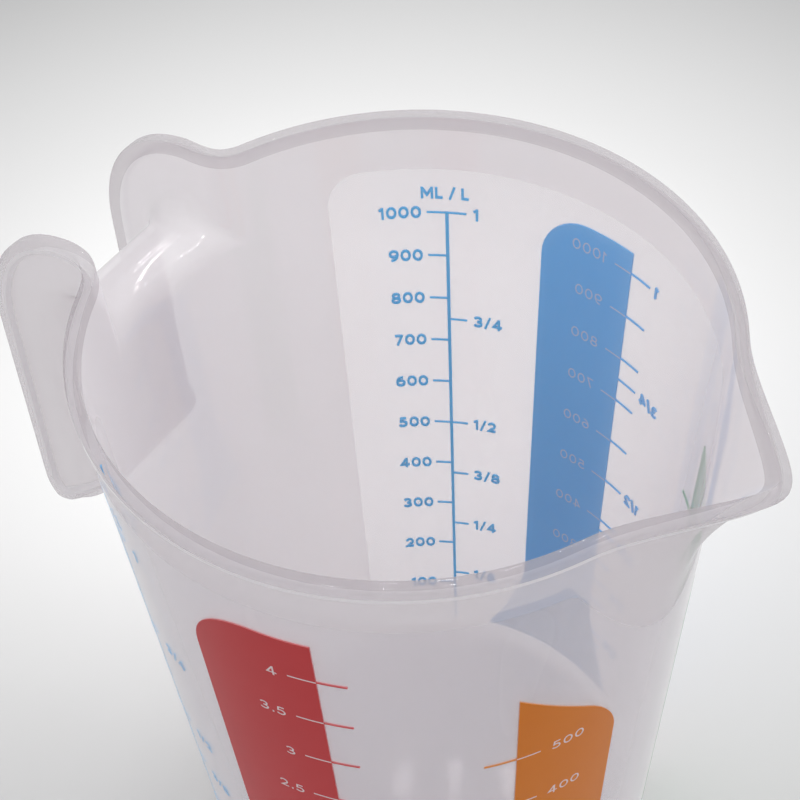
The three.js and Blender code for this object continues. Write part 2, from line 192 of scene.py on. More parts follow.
def painted_glow_floor():
    material, tree = new_tree("pale_floor")
    place = Wire.node(tree, "ShaderNodeTexCoord", out="Object")
    centred = Wire.node(tree, "ShaderNodeMapping", {"vector_type": "TEXTURE"}, {
        "Vector": place, "Location": GLOW_CENTRE, "Rotation": (0, 0, GLOW_TURN), "Scale": GLOW_SPREAD})
    away = Wire.node(tree, "ShaderNodeVectorMath", {"operation": "LENGTH"}, {0: centred}, out="Value")
    # Painted pool of light: the floor's colour is lightest round the jug and darker towards the corners.
    glow = Wire.node(tree, "ShaderNodeValToRGB", {"stops": GLOW_STOPS}, {"Fac": away * GLOW_REACH})
    grain = object_noise(tree, GRAIN_SCALE)
    surface = Wire.node(tree, "ShaderNodeBsdfPrincipled", None, {
        "Base Color": glow, "Roughness": 0.75 + grain * 0.1, "Specular IOR Level": 0.2})
    Wire.node(tree, "ShaderNodeOutputMaterial", None, {"Surface": surface})
    return material


sheet_bm = bmesh.new()
bmesh.ops.create_grid(sheet_bm, x_segments=8, y_segments=8, size=FLOOR_SIZE,
                      matrix=Matrix.Translation((0, 0, -FLOOR_GAP)))
sheet_mesh = bpy.data.meshes.new("pale_floor")
sheet_bm.to_mesh(sheet_mesh)
sheet_bm.free()
sheet_mesh.materials.append(painted_glow_floor())
floor_sheet = bpy.data.objects.new("pale_floor", sheet_mesh)
scene.collection.objects.link(floor_sheet)

world = bpy.data.worlds.new("pale_room")
world.use_nodes = True
world.node_tree.nodes.clear()
heading = Wire.node(world.node_tree, "ShaderNodeTexCoord", out="Generated")
overhead = Wire.node(world.node_tree, "ShaderNodeVectorMath", {"operation": "DOT_PRODUCT"}, {
    0: heading, 1: LIGHT_FROM}, out="Value")
ceiling = Wire.node(world.node_tree, "ShaderNodeValToRGB", {"stops": ROOM_STOPS}, {
    "Fac": overhead * ROOM_STRETCH + ROOM_SHIFT})
room = Wire.node(world.node_tree, "ShaderNodeBackground", None, {"Color": ceiling, "Strength": ROOM_STRENGTH})
Wire.node(world.node_tree, "ShaderNodeOutputWorld", None, {"Surface": room})
scene.world = world
print("floor", 2 * FLOOR_SIZE, "m wide, room strength", ROOM_STRENGTH)

# %% Rows of small lamps
LAMP_AIM = Vector((-0.02, 0, 0.11))
ROLL_LAMP = (0.005, 0.012)
ROLL_LAMP_WATTS = 0.065
RIM_LAMP = (0.012, 0.03)
RIM_LAMP_WATTS = 0.08
FLOOR_LAMP_WATTS = 0.05


def lamp_row(name, first, last, count, size, watts):
    """A straight row of small lamps that shine at the jug. Size is each lamp's width along the row and its
    length across it: a rounded edge mirrors that length as a short one, so long lamps give round points."""
    along = Vector(last) - Vector(first)
    for number in range(count):
        place = Vector(first).lerp(Vector(last), number / max(1, count - 1))
        lamp = bpy.data.lights.new(f"{name}_{number}", "AREA")
        lamp.shape = "RECTANGLE"
        lamp.size, lamp.size_y = size
        lamp.energy = watts
        body = bpy.data.objects.new(lamp.name, lamp)
        back = (place - LAMP_AIM).normalized()
        right = (along - back * along.dot(back)).normalized()
        turned = Matrix((right, back.cross(right), back)).transposed()
        body.matrix_world = Matrix.Translation(place) @ turned.to_4x4()
        scene.collection.objects.link(body)


lamp_row("low_lamp", (0.59, 0.68, 0.88), (0.78, 0.45, 0.88), 6, ROLL_LAMP, ROLL_LAMP_WATTS)
lamp_row("high_lamp", (0.28, 0.66, 1.08), (-0.05, 0.57, 1.20), 8, ROLL_LAMP, ROLL_LAMP_WATTS)
lamp_row("near_lamp", (0.30, 0.31, 1.25), (0.76, 0.41, 0.92), 4, ROLL_LAMP, ROLL_LAMP_WATTS)
lamp_row("far_lamp", (0.47, 0.70, 0.95), (0.38, 0.69, 1.01), 2, ROLL_LAMP, ROLL_LAMP_WATTS)
lamp_row("left_rim_lamp", (-0.36, 0.26, 1.25), (-0.25, 0.41, 1.23), 3, RIM_LAMP, RIM_LAMP_WATTS)
lamp_row("right_rim_lamp", (-0.33, 0.65, 1.07), (-0.19, 0.60, 1.15), 2, RIM_LAMP, RIM_LAMP_WATTS)
lamp_row("floor_lamp", (-0.39, 0.49, 1.03), (-0.31, 0.54, 1.03), 3, RIM_LAMP, FLOOR_LAMP_WATTS)

# %% [markdown]
# ## The shape of the wall
# On the real jug the wall is a cone with a little draft, so that it leaves its mould. The spout is
# pressed out of it: it grows towards the rim and its two folds close to a point on the keel. The same two
# formulas as in the CAD model give the wall's radius and how far the spout stands out of it.

# %% Sizes of the moulding
JUG_HEIGHT = 153.5
BASE_RADIUS = 47.2
MOUTH_RADIUS = 57.33
WALL = 1.6
FLOOR = 2.0
FLOOR_CORNER = 2.5
BEAD = 2.5
BEAD_HEIGHT = 3.0
SPOUT_REACH = 14.3
SPOUT_WIDTH = 54.0
SPOUT_DEPTH = 42.5
SPOUT_SHOULDER = 13.8
SPOUT_TIP_ROUNDING = 1.6
SPOUT_FOOT = JUG_HEIGHT - SPOUT_DEPTH
SPOUT_EARLY = 0.35
FOLD_POWER = 0.6
KEEL_POWER = 1.85
LABEL_TOP = JUG_HEIGHT - 12.3
LABEL_GAP = 0.7
LABEL_BOTTOM = 3.4
LABEL_END = 140.8
LABEL_CORNER = 7.0


def wall_radius(z):
    """The outside of the plain wall."""
    return BASE_RADIUS + (MOUTH_RADIUS - BASE_RADIUS) * z / JUG_HEIGHT


def inner_radius(z):
    return wall_radius(z) - WALL


def spout_bulge(azimuth, z):
    """How far the spout stands out of the wall. The spout is at azimuth 0."""
    rise = min(1, max(0, (z - SPOUT_FOOT) / SPOUT_DEPTH))
    half = SPOUT_WIDTH / 2 * min(1, max(0, (z - SPOUT_FOOT) / (SPOUT_DEPTH - SPOUT_SHOULDER))) ** FOLD_POWER
    arc = wall_radius(z) * abs(azimuth)
    if arc >= half:
        return 0
    across = arc / half
    rounding = SPOUT_TIP_ROUNDING / half / rise
    soft = across ** 2 * (math.hypot(1, rounding) + rounding) / (math.hypot(across, rounding) + rounding)
    profile = SPOUT_EARLY * rise ** 1.5 + (1 - SPOUT_EARLY) * rise ** 3
    return SPOUT_REACH * profile * (1 - soft) ** KEEL_POWER


print("mouth inside", round(2 * inner_radius(JUG_HEIGHT), 1), "mm")
print("spout reach", round(spout_bulge(0, JUG_HEIGHT), 1), "mm")

# %% [markdown]
# ## Finishes of the plastic
# The wall is polypropylene about a millimetre and a half thick. Its inner skin is clear and glossy. Its
# outer skin is finely frosted and scatters light, but where the film's glue wets it, the frost disappears
# and the wall is clear enough to show print behind it. One glass shader with a volume would take long to
# render, so each skin shares the light between three shaders: a glossy plastic, one that scatters light
# through, and one that is plainly see-through. The glossy share rises at grazing angles, as real gloss
# does. The rim bead is thicker than the wall, so it has cloudier finishes of its own. Along its lower edge
# a paler, whiter finish is a painted highlight: it stands in for the bright line that light makes there.

# %% Where the film lies
def under_film(tree):
    """A mask that is 1 where the film covers the wall, with its dip at the spout and its rounded corners."""
    place = Wire.node(tree, "ShaderNodeTexCoord", out="Object")
    x, y, z = (Wire.node(tree, "ShaderNodeSeparateXYZ", None, {"Vector": place}, out=axis) for axis in "XYZ")
    around = y.maths("ABSOLUTE", y.maths("ARCTAN2", y, x)) * (wall_radius(LABEL_TOP) * MM)
    rise = (around * (2 / SPOUT_WIDTH / MM)) ** (1 / FOLD_POWER)
    dip = (SPOUT_FOOT - LABEL_GAP) * MM + (SPOUT_DEPTH - SPOUT_SHOULDER) * MM * rise
    corner = LABEL_CORNER * MM
    end = math.radians(LABEL_END) * wall_radius(LABEL_TOP) * MM
    near_end = (corner - (end - around)).at_least(0)
    near_top = (corner - (dip.at_most(LABEL_TOP * MM) - z)).at_least(0)
    near_bottom = (corner - (z - LABEL_BOTTOM * MM)).at_least(0)
    return (near_end ** 2 + near_top.at_least(near_bottom) ** 2).below(corner ** 2)


print("film from", LABEL_BOTTOM, "to", round(LABEL_TOP, 1), "mm")

# %% Plastic finishes
FROST_LOST = 0.8
WETTED_TINT = (1, 0.98, 1, 1)
DEEPER = 0.96
RIPPLE_DEPTH = 0.0005
RIPPLE_STRETCH = (1, 1, 0.3)


def cloudy(name, tint, bounced, scattered, rough, wave=40.0, bump=0.03, wetted=None, clear=(1, 0.997, 1, 1),
           index=1.49):
    """A see-through plastic skin. Bounced is the share of glossy plastic seen square on, and scattered is the
    share of the rest that glows with the light from behind. Wetted gives both shares under the film. Clear is
    what the see-through share lets pass. A higher index makes a thin glossy share reflect as much as solid
    plastic does."""
    material, tree = new_tree(name)
    if wetted:
        film = under_film(tree)
        bounced = bounced + film * (wetted[0] - bounced)
        scattered = scattered + film * (wetted[1] - scattered)
    flow = object_noise(tree, wave, 1.0, RIPPLE_STRETCH)
    colour = Wire.node(tree, "ShaderNodeMix", {"data_type": "RGBA"}, {
        0: flow, 6: tint, 7: tuple(value * DEEPER for value in tint[:3]) + (1,)}, out=2)
    if wetted:
        colour = Wire.node(tree, "ShaderNodeMix", {"data_type": "RGBA"}, {
            0: film * FROST_LOST, 6: colour, 7: WETTED_TINT}, out=2)
    ripple = Wire.node(tree, "ShaderNodeBump", None, {
        "Strength": bump, "Distance": RIPPLE_DEPTH, "Height": flow})
    plastic = Wire.node(tree, "ShaderNodeBsdfPrincipled", None, {
        "Base Color": colour, "Roughness": rough * (0.85 + flow * 0.3), "IOR": index, "Normal": ripple})
    glow = Wire.node(tree, "ShaderNodeBsdfTranslucent", None, {"Color": tint})
    straight = Wire.node(tree, "ShaderNodeBsdfTransparent", None, {"Color": clear})
    through = Wire.node(tree, "ShaderNodeMixShader", None, {0: scattered, 1: straight, 2: glow})
    edge_on = Wire.node(tree, "ShaderNodeLayerWeight", None, {"Blend": 0.5}, out="Facing")
    gloss = bounced + (1 - bounced) * edge_on ** 5
    surface = Wire.node(tree, "ShaderNodeMixShader", None, {0: gloss, 1: through, 2: plastic})
    Wire.node(tree, "ShaderNodeOutputMaterial", None, {"Surface": surface})
    return material


inner_skin = cloudy("clear_inner_skin", linear(252, 249, 252), 0.34, 0.32, 0.05, bump=0.002,
                    wetted=(0.10, 0.05), index=2.0)
outer_skin = cloudy("frosted_outer_skin", linear(227, 222, 225), 0.35, 0.42, 0.26, wetted=(0.26, 0.30))
bead_skin = cloudy("bead_skin", linear(200, 195, 198), 0.14, 0.20, 0.05, 70.0, 0.01,
                   clear=(0.95, 0.94, 0.95, 1), index=1.8)
bead_inner = cloudy("bead_inner_side", linear(216, 211, 214), 0.20, 0.30, 0.05, 70.0, 0.01,
                    clear=(0.94, 0.925, 0.935, 1), index=1.8)
# Painted highlight: a whiter, glowing finish for the bead's lower edge, in place of the bright line that
# light makes there.
bead_painted_highlight = cloudy("bead_lower_painted_highlight", linear(240, 237, 240), 0.6, 0.9, 0.10, 70.0)
base_skin = cloudy("frosted_base", linear(253, 250, 253), 0.9, 0.9, 0.30)
film_finish = cloudy("label_film", linear(244, 241, 244), 0.06, 0.05, 0.20, 120.0,
                     clear=(0.98, 0.975, 0.98, 1))
BODY_FINISHES = (outer_skin, inner_skin, bead_skin, bead_painted_highlight, base_skin, bead_inner)
OUTER, INNER, BEAD_SIDE, BEAD_HIGHLIGHT, UNDERSIDE, BEAD_INSIDE = range(len(BODY_FINISHES))
print("plastic finishes:", [finish.name for finish in BODY_FINISHES + (film_finish,)])

# %% [markdown]
# ## Finishes of the inks
# Screen-printed ink is even, but it is never one flat colour: its layer is a little thicker in places,
# and the film under it is slightly rough. Fine noise shifts the colour and the gloss. A second set is for
# the back of each print, which is read from inside the jug through the clear plastic. Its coloured inks
# are lighter than the front ones. That is painted light, standing in for the light from outside that
# shines through the thin ink. The outside line scale is a paler blue.

# %% Ink finishes
CLOUD_SCALE = 90.0
SPECK_SCALE = 2600.0
SPECK_DEPTH = 0.0002


def ink(name, colour, deep, varnish=0.0, index=1.5):
    """A printed colour that wanders between two close tones. Varnish is the clear gloss over its front, and a
    higher index makes that gloss stronger edge-on."""
    material, tree = new_tree(name)
    cloud = object_noise(tree, CLOUD_SCALE, 4.0)
    specks = object_noise(tree, SPECK_SCALE, 2.0)
    tone = Wire.node(tree, "ShaderNodeMix", {"data_type": "RGBA"}, {
        0: cloud * 0.75 + specks * 0.25, 6: colour, 7: deep}, out=2)
    grain = Wire.node(tree, "ShaderNodeBump", None, {
        "Strength": 0.05, "Distance": SPECK_DEPTH, "Height": specks})
    surface = Wire.node(tree, "ShaderNodeBsdfPrincipled", None, {
        "Base Color": tone, "Roughness": 0.34 + cloud * 0.16, "Normal": grain,
        "Specular IOR Level": 0.0 if varnish else 0.5, "Coat Weight": varnish, "Coat Roughness": 0.12,
        "Coat IOR": index})
    Wire.node(tree, "ShaderNodeOutputMaterial", None, {"Surface": surface})
    return material


blue_ink = ink("blue_ink", linear(60, 130, 198), linear(50, 118, 188), 0.6)
red_ink = ink("red_ink", linear(195, 54, 58), linear(185, 46, 50), 0.6)
orange_ink = ink("orange_ink", linear(212, 119, 8), linear(204, 110, 6), 0.6)
green_ink = ink("green_ink", linear(82, 150, 106), linear(70, 136, 94), 1.0, 2.0)
pale_ink = ink("pale_ink", linear(232, 214, 216), linear(222, 204, 206), 0.6)
line_ink = ink("line_ink", linear(140, 174, 212), linear(130, 164, 204), 1.0, 2.2)
# Back inks: lighter copies of the front inks, painted backlight in place of light shining through the thin
# ink.
painted_backlight_blue = ink("blue_ink_back_painted_backlight", linear(96, 188, 253), linear(86, 180, 249))
painted_backlight_line = ink("line_ink_back_painted_backlight", linear(60, 190, 252), linear(50, 182, 247))
painted_backlight_red = ink("red_ink_back_painted_backlight", linear(222, 84, 90), linear(212, 76, 82))
painted_backlight_orange = ink("orange_ink_back_painted_backlight", linear(234, 146, 50), linear(226, 136, 42))
painted_backlight_green = ink("green_ink_back_painted_backlight", linear(110, 182, 136), linear(98, 170, 124))
pale_back = ink("pale_ink_back", linear(190, 208, 236), linear(182, 200, 230))
print("inks ready")

# %% [markdown]
# ## The moulding as one sheet
# The inside of the jug is one unbroken surface: up the wall, over the thumb roll and out along the
# handle's channel. So the moulding starts as that single sheet and gets its thickness later. The wall is
# a profile line that is spun round the axis. Its columns are then drawn together at the spout and at the
# handle, where the shape turns fast.

# %% Spin the inner wall
COLUMNS = 120
WINDOW_COLUMNS = 12
ROLL_Z = 131.2
BEAD_ROWS = (3.3, 2.8, 2.2, 0.0)
RIM_ROWS = (20.0, 17.6, 15.2, 12.8, 10.2, 7.6, 5.4) + BEAD_ROWS
CROWDING = 0.25
FLOOR_CUTS = 7
WALL_CUTS = 27


def crowded(azimuth):
    """Draws evenly spread columns together at the spout and at the handle."""
    return azimuth - CROWDING * math.sin(2 * azimuth)


WINDOW = crowded(2 * math.pi * WINDOW_COLUMNS / COLUMNS)

jug = bmesh.new()
corners = [(0.0, FLOOR), (inner_radius(FLOOR), FLOOR), (inner_radius(ROLL_Z), ROLL_Z)]
corners += [(inner_radius(JUG_HEIGHT - down), JUG_HEIGHT - down) for down in RIM_ROWS]
chain = [jug.verts.new((radius, 0, z)) for radius, z in corners]
for pair in zip(chain, chain[1:]):
    jug.edges.new(pair)
bmesh.ops.bevel(jug, geom=[chain[1]], offset=FLOOR_CORNER, segments=4, profile=0.5, affect="VERTICES",
                material=-1)
floor_line, wall_line = sorted(jug.edges, key=lambda edge: edge.calc_length())[-2:]
bmesh.ops.subdivide_edges(jug, edges=[floor_line], cuts=FLOOR_CUTS)
bmesh.ops.subdivide_edges(jug, edges=[wall_line], cuts=WALL_CUTS)
bmesh.ops.spin(jug, geom=jug.verts[:] + jug.edges[:], cent=(0, 0, 0), axis=(0, 0, 1), dvec=(0, 0, 0),
               angle=2 * math.pi, steps=COLUMNS, use_merge=True, use_duplicate=False)
bmesh.ops.remove_doubles(jug, verts=jug.verts[:], dist=0.001)
for point in jug.verts:
    radius = math.hypot(point.co.x, point.co.y)
    if radius > 0.01:
        azimuth = crowded(math.atan2(point.co.y, point.co.x))
        radius += spout_bulge(azimuth, point.co.z)
        point.co.x = radius * math.cos(azimuth)
        point.co.y = radius * math.sin(azimuth)
print("wall sheet:", len(jug.faces), "faces")
print("handle window:", round(2 * math.degrees(WINDOW), 1), "degrees wide")

# %% [markdown]
# ## The handle
# At the back the rim opens into the handle: the middle of the wall rolls over outwards as a thumb rest
# and runs down as a web, and both ends of the rim turn out as side plates. That could be built as three
# plates and joined, but joined plates need fillets everywhere. Here a window is cut in the wall, and its
# edge is extruded step by step along the handle, so that wall, roll, web and plates stay one sheet. Each
# point of the edge remembers how far it is across the handle and how far below the free rim, and these
# two numbers place its copies. A fillet grows between roll and plates, and the plates' free edge rises a
# little above the rim before it turns down.

# %% Route of the handle
ROLL_RADIUS = 7.9
ROLL_U = inner_radius(ROLL_Z) + ROLL_RADIUS
WEB_U = ROLL_U + ROLL_RADIUS
CHANNEL_HALF = 15.6
PLATE_RISE = 1.7
PLATE_TOP = JUG_HEIGHT + PLATE_RISE
PLATE_EDGE = 84.3
SHOULDER_OUT = 23.1
SHOULDER_DOWN = 27.6
TOE_RADIUS = 3.6
TOE_Z = 77.2
TOE_TURN = math.radians(123.5)
WEB_BOTTOM = 81.2
ROLL_STEPS = 16
WEB_STEPS = 15
FAR_OFF = 99.0
PLATE_FILLET = 6.0


def plate_half(u, z):
    """Half the channel's width at a distance from the axis: a fillet off the round wall, then straight."""
    start_u = inner_radius(z) * math.cos(WINDOW)
    start_v = inner_radius(z) * math.sin(WINDOW)
    arm = (start_v - CHANNEL_HALF) / math.cos(WINDOW)
    bend_u = start_u + arm * math.sin(WINDOW)
    if u >= bend_u + arm:
        return CHANNEL_HALF
    square = start_u - bend_u + arm
    along = bend_u - start_u
    share = (math.sqrt(max(0, along ** 2 + square * (u - start_u))) - along) / square
    return CHANNEL_HALF + (start_v - CHANNEL_HALF) * (1 - share) ** 2


def sag(v):
    """How far the round wall falls back at a distance from the handle's middle."""
    radius = inner_radius(ROLL_Z)
    return radius - math.sqrt(radius ** 2 - v ** 2)


def shoulder_hit(angle):
    """Where a ray from the roll's middle meets the free edge of a side plate."""
    over = PLATE_TOP - ROLL_Z
    shoulder_u = PLATE_EDGE - SHOULDER_OUT
    shoulder_z = PLATE_TOP - SHOULDER_DOWN
    if ROLL_U + over / max(1e-6, math.tan(angle)) <= shoulder_u:
        return ROLL_U + over / math.tan(angle), PLATE_TOP
    run, climb = math.cos(angle) / SHOULDER_OUT, math.sin(angle) / SHOULDER_DOWN
    off_u, off_z = (ROLL_U - shoulder_u) / SHOULDER_OUT, (ROLL_Z - shoulder_z) / SHOULDER_DOWN
    square, half, rest = run ** 2 + climb ** 2, run * off_u + climb * off_z, off_u ** 2 + off_z ** 2 - 1
    reach = (math.sqrt(half ** 2 - square * rest) - half) / square
    return ROLL_U + reach * math.cos(angle), ROLL_Z + reach * math.sin(angle)


def edge_below(run):
    """The free edge of a side plate, some way along it below the roll's middle, down and round the toe."""
    z = ROLL_Z - run
    if z >= TOE_Z:
        high = max(0, z - (PLATE_TOP - SHOULDER_DOWN)) / SHOULDER_DOWN
        return PLATE_EDGE - SHOULDER_OUT * (1 - math.sqrt(1 - high ** 2)), z
    turned = (TOE_Z - z) / TOE_RADIUS
    return PLATE_EDGE - TOE_RADIUS * (1 - math.cos(turned)), TOE_Z - TOE_RADIUS * math.sin(turned)


edge_run = ROLL_Z - TOE_Z + TOE_RADIUS * TOE_TURN
stations = []
for step in range(1, ROLL_STEPS + 1):
    angle = math.pi * (1 - step / ROLL_STEPS)
    roll = (ROLL_U + ROLL_RADIUS * math.cos(angle), ROLL_Z + ROLL_RADIUS * math.sin(angle))
    if angle >= math.pi / 2:
        out = 2 * step / ROLL_STEPS
        start = inner_radius(JUG_HEIGHT) * math.cos(WINDOW)
        edge = (start + (ROLL_U - start) * out, PLATE_TOP - PLATE_RISE * (1 - out) ** 2)
    else:
        edge = shoulder_hit(angle)
    stations.append((roll, edge, FAR_OFF))
web_run = ROLL_Z - WEB_BOTTOM
downs = [(web_run - BEAD_ROWS[0]) * step / WEB_STEPS for step in range(1, WEB_STEPS + 1)]
downs += [web_run - row for row in BEAD_ROWS[1:]]
for down in downs:
    stations.append(((WEB_U, ROLL_Z - down), edge_below(edge_run * down / web_run), web_run - down))
print("handle route:", len(stations), "stations, free edge", round(edge_run, 1), "mm below the roll")

# %% Extrude the window's edge along the handle
from_rim = jug.verts.layers.float.new("from_rim")
from_tail = jug.verts.layers.float.new("from_tail")
across = jug.verts.layers.float.new("across")
for point in jug.verts:
    turned = math.atan2(point.co.y, -point.co.x)
    point[from_rim] = JUG_HEIGHT - point.co.z
    point[from_tail] = FAR_OFF
    point[across] = turned / WINDOW


def in_window(face):
    middle = face.calc_center_median()
    return middle.z > ROLL_Z and abs(math.atan2(middle.y, -middle.x)) < WINDOW


def handle_point(station, share, depth):
    """One point of the sheet at a station, by its share across the handle and its depth below the rim."""
    (roll_u, roll_z), (edge_u, edge_z), _ = station
    fade = max(0, min(1, (WEB_U - roll_u) / (WEB_U - inner_radius(ROLL_Z))))
    half = CHANNEL_HALF
    # The channel's width and the wall's sag depend on each other, so a few rounds settle both.
    for _ in range(6):
        half = plate_half(roll_u - sag(half) * fade, roll_z)
    full = JUG_HEIGHT - ROLL_Z
    fillet = PLATE_FILLET * max(0.01, min(1, (roll_u - inner_radius(ROLL_Z)) / ROLL_RADIUS))
    root_u = roll_u - sag(half) * fade
    length = math.hypot(edge_u - root_u, edge_z - roll_z)
    rise = Vector((-(edge_u - root_u), 0, edge_z - roll_z)) / length
    if depth > full - 0.01:
        away = half * (1 - abs(share))
        turn = math.radians(45) * max(0, 1 - away / fillet)
        v = half - away if away > fillet else half - fillet * (1 - math.sin(turn))
        v = math.copysign(v, share)
        return Vector((-(roll_u - sag(v) * fade), v, roll_z)) + rise * fillet * (1 - math.cos(turn))
    kept = BEAD_ROWS[0]
    if depth > kept:
        depth = kept + (depth - kept) * (length - kept) / (full - kept)
    up = length - depth
    turn = math.radians(45) * min(2, 1 + up / fillet)
    if up < fillet:
        up = fillet * (1 - math.cos(turn))
    u = root_u + (edge_u - root_u) * up / length
    z = roll_z + (edge_z - roll_z) * up / length
    return Vector((-u, math.copysign(plate_half(u, z) - fillet * (1 - math.sin(turn)), share), z))


bmesh.ops.delete(jug, geom=[face for face in jug.faces if in_window(face)], context="FACES")
ring = [edge for edge in jug.edges if edge.is_boundary and min(end[from_rim] for end in edge.verts) > -0.01
        and max(end[from_rim] for end in edge.verts) > 0.01]
for station in stations:
    grown = bmesh.ops.extrude_edge_only(jug, edges=ring)["geom"]
    fresh = [part for part in grown if isinstance(part, bmesh.types.BMVert)]
    for point in fresh:
        point.co = handle_point(station, point[across], point[from_rim])
        point[from_tail] = station[2]
    ring = [part for part in grown
            if isinstance(part, bmesh.types.BMEdge) and all(end in fresh for end in part.verts)]
bmesh.ops.recalc_face_normals(jug, faces=jug.faces[:])
lowest = min(jug.faces, key=lambda face: face.calc_center_median().z)
if lowest.normal.z > 0:
    bmesh.ops.reverse_faces(jug, faces=jug.faces[:])
print("sheet with handle:", len(jug.faces), "faces")
print("free rim:", sum(edge.is_boundary for edge in jug.edges), "edges")

# %% [markdown]
# ## Thickness and bead
# The Solidify modifier gives the sheet its wall. A vertex group sets how thick each part is, so the free
# edge comes out as a bead that stands proud of the wall. Solidify also marks the inner faces and the edge
# with materials of their own. The faces of the bead then get its cloudier finishes, with a painted
# highlight along the lowest band of its outside, and the underside gets a frosted one. The edge's two long
# corners are bevelled round, the outer one more than the inner one.

# %% Thicken the sheet
FLOOR_MARGIN = 1.5
FLAT_WITHIN = 0.3

weights = jug.verts.layers.deform.verify()
for point in jug.verts:
    radius = math.hypot(point.co.x, point.co.y)
    thick = WALL
    if point.co.z < FLOOR + FLAT_WITHIN and radius < inner_radius(FLOOR) - FLOOR_MARGIN:
        thick = FLOOR
    if min(point[from_rim], point[from_tail]) < BEAD_HEIGHT:
        thick = BEAD
    point[weights][0] = thick / BEAD
for face in jug.faces:
    face.smooth = True
sheet = bpy.data.meshes.new("jug_sheet")
jug.to_mesh(sheet)
jug.free()
draft = bpy.data.objects.new("jug_sheet", sheet)
scene.collection.objects.link(draft)
draft.vertex_groups.new(name="thickness")
for finish in BODY_FINISHES:
    sheet.materials.append(finish)
smooth = draft.modifiers.new("smooth", "SUBSURF")
smooth.levels = 1
smooth.render_levels = 1
shell = draft.modifiers.new("shell", "SOLIDIFY")
shell.thickness = BEAD
shell.offset = 1
shell.use_even_offset = True
shell.vertex_group = "thickness"
shell.material_offset = INNER
shell.material_offset_rim = BEAD_SIDE
graph = bpy.context.evaluated_depsgraph_get()
solid = bpy.data.meshes.new_from_object(draft.evaluated_get(graph), depsgraph=graph)
bpy.data.objects.remove(draft)
print("solid jug:", len(solid.polygons), "faces")


# %% Round the rim and finish the body
def finish_piece(bm, name, materials, nodes, sharp):
    """Turns a bmesh in millimetres into a finished piece in metres. Sharp is the angle that stays an edge."""
    bmesh.ops.scale(bm, vec=(MM, MM, MM), verts=bm.verts[:])
    mesh = bpy.data.meshes.new(name)
    bm.to_mesh(mesh)
    bm.free()
    for finish in materials:
        mesh.materials.append(finish)
    mesh.polygons.foreach_set("use_smooth", [True] * len(mesh.polygons))
    mesh.set_sharp_from_angle(angle=math.radians(sharp))
    piece = bpy.data.objects.new(name, mesh)
    scene.collection.objects.link(piece)
    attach(piece, "root")
    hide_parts(*nodes)
    triangles = sum(len(face.vertices) - 2 for face in mesh.polygons)
    print(name, "has", triangles, "triangles")


OUTER_ROUNDING = 1.2
INNER_ROUNDING = 0.6
BEAD_SIDE_BOTTOM = BEAD_HEIGHT - 0.7
BEAD_HIGHLIGHT_BOTTOM = BEAD_HEIGHT + 0.4

body = bmesh.new()
body.from_mesh(solid)
corner_edges = [edge for edge in body.edges
                if len(edge.link_faces) == 2
                and sum(face.material_index == BEAD_SIDE for face in edge.link_faces) == 1]
depth_layers = [body.verts.layers.float[name] for name in ("from_rim", "from_tail")]
# Faces near the rim get the bead finishes; the lowest band of the bead's outside gets the painted highlight.
for face in body.faces:
    depth = sum(min(point[layer] for layer in depth_layers) for point in face.verts) / len(face.verts)
    if face.material_index == OUTER and depth < BEAD_HIGHLIGHT_BOTTOM:
        face.material_index = BEAD_SIDE if depth < BEAD_SIDE_BOTTOM else BEAD_HIGHLIGHT
    elif face.material_index == OUTER and face.normal.z < -0.9 and face.calc_center_median().z < FLOOR:
        face.material_index = UNDERSIDE
    elif face.material_index == INNER and depth < BEAD_HEIGHT:
        face.material_index = BEAD_INSIDE
inner_corners = [edge for edge in corner_edges
                 if any(face.material_index in (INNER, BEAD_INSIDE) for face in edge.link_faces)]
outer_corners = [edge for edge in corner_edges if edge not in inner_corners]
for corner, rounding in ((outer_corners, OUTER_ROUNDING), (inner_corners, INNER_ROUNDING)):
    bmesh.ops.bevel(body, geom=corner, offset=rounding, offset_type="OFFSET", segments=4, profile=0.5,
                    affect="EDGES", clamp_overlap=True, material=-1)
finish_piece(body, "moulded_jug", BODY_FINISHES, ["jug_body"], 45)

# %% [markdown]
# ## Patches on the wall
# Film and ink lie on the outside of the cone. A flat strip could be bent with a modifier, but the taper
# would skew it. So a thin box is cut into columns and every corner is laid on the wall by its azimuth and
# height. The columns crowd towards both ends, where corners are rounded. Real ink is far thinner than
# its boxes here, which start a quarter of a millimetre inside the wall. So, from inside the jug, the back
# of the print shows in front of the frosted outer skin and stays as clear as on the real jug.

# %% Wrap a patch on the cone
def on_wall(azimuth, z, proud):
    """A point by its azimuth in degrees, its height and how far it stands out of the wall."""
    radius = wall_radius(z) + proud
    turn = math.radians(azimuth)
    return Vector((radius * math.cos(turn), radius * math.sin(turn), z))


def arc_length(first, second):
    """The distance along the wall between two azimuths, at the height of the label's top."""
    return wall_radius(LABEL_TOP) * math.radians(abs(first - second))


def round_off(distance, radius):
    """How much a rounded corner lowers an edge at some distance from its end."""
    short = max(0, radius - distance)
    return radius - math.sqrt(max(0, radius ** 2 - short ** 2))


